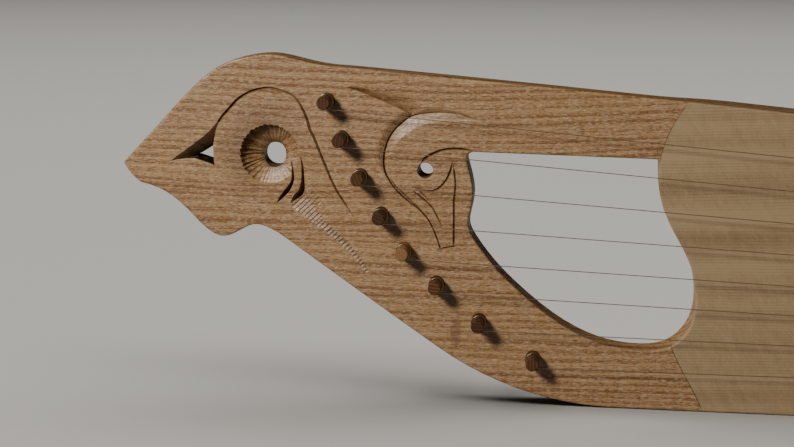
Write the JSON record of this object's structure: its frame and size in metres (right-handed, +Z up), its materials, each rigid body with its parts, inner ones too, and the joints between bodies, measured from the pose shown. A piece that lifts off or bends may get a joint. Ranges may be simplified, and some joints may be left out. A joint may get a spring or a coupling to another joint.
{
  "type": "lyre-shaped gusli",
  "caption": "Carved wooden board zither with a playing window, a beaked bird's head, turning tuning pegs and steel strings running to a rod at the tail.",
  "frame": {"origin": "middle of the flat lower edge that the instrument stands on, at half the depth of the hollow body", "axes": "+X along the lower edge from the beak towards the tail, +Z up, the carved face and the strings look towards -Y"},
  "size_m": [0.7548, 0.0675, 0.2155],
  "materials": {
    "ash": "oiled, planed and carved",
    "spruce": "fine-planed, oiled",
    "spruce_inner": "bare, sawn",
    "post_wood": "oiled",
    "peg_wood": "oiled, dark",
    "steel_rod": "ground",
    "string_wire": "drawn wire"
  },
  "bodies": {
    "frame": {"body": "ash", "soundboard": "spruce", "brace_1": "spruce_inner", "brace_2": "spruce_inner", "brace_3": "spruce_inner", "string_rod": "steel_rod", "rod_post_lower": "post_wood", "rod_post_upper": "post_wood", "string_1": "string_wire", "string_2": "string_wire", "string_3": "string_wire", "string_4": "string_wire", "string_5": "string_wire", "string_6": "string_wire", "string_7": "string_wire", "string_8": "string_wire"},
    "peg_body_1": {"peg_1": "peg_wood", "winding_1": "string_wire"},
    "peg_body_2": {"peg_2": "peg_wood", "winding_2": "string_wire"},
    "peg_body_3": {"peg_3": "peg_wood", "winding_3": "string_wire"},
    "peg_body_4": {"peg_4": "peg_wood", "winding_4": "string_wire"},
    "peg_body_5": {"peg_5": "peg_wood", "winding_5": "string_wire"},
    "peg_body_6": {"peg_6": "peg_wood", "winding_6": "string_wire"},
    "peg_body_7": {"peg_7": "peg_wood", "winding_7": "string_wire"},
    "peg_body_8": {"peg_8": "peg_wood", "winding_8": "string_wire"}
  },
  "joints": [
    {"name": "peg_1_turn", "type": "hinge", "parent": "frame", "child": "peg_body_1", "pos_m": [-0.396, 0, 0.188], "axis": [0, 1, 0], "continuous": true},
    {"name": "peg_2_turn", "type": "hinge", "parent": "frame", "child": "peg_body_2", "pos_m": [-0.3866, 0, 0.165], "axis": [0, 1, 0], "continuous": true},
    {"name": "peg_3_turn", "type": "hinge", "parent": "frame", "child": "peg_body_3", "pos_m": [-0.3749, 0, 0.1416], "axis": [0, 1, 0], "continuous": true},
    {"name": "peg_4_turn", "type": "hinge", "parent": "frame", "child": "peg_body_4", "pos_m": [-0.3616, 0, 0.118], "axis": [0, 1, 0], "continuous": true},
    {"name": "peg_5_turn", "type": "hinge", "parent": "frame", "child": "peg_body_5", "pos_m": [-0.347, 0, 0.0962], "axis": [0, 1, 0], "continuous": true},
    {"name": "peg_6_turn", "type": "hinge", "parent": "frame", "child": "peg_body_6", "pos_m": [-0.3264, 0, 0.0756], "axis": [0, 1, 0], "continuous": true},
    {"name": "peg_7_turn", "type": "hinge", "parent": "frame", "child": "peg_body_7", "pos_m": [-0.2996, 0, 0.0527], "axis": [0, 1, 0], "continuous": true},
    {"name": "peg_8_turn", "type": "hinge", "parent": "frame", "child": "peg_body_8", "pos_m": [-0.2655, 0, 0.0302], "axis": [0, 1, 0], "continuous": true}
  ]
}
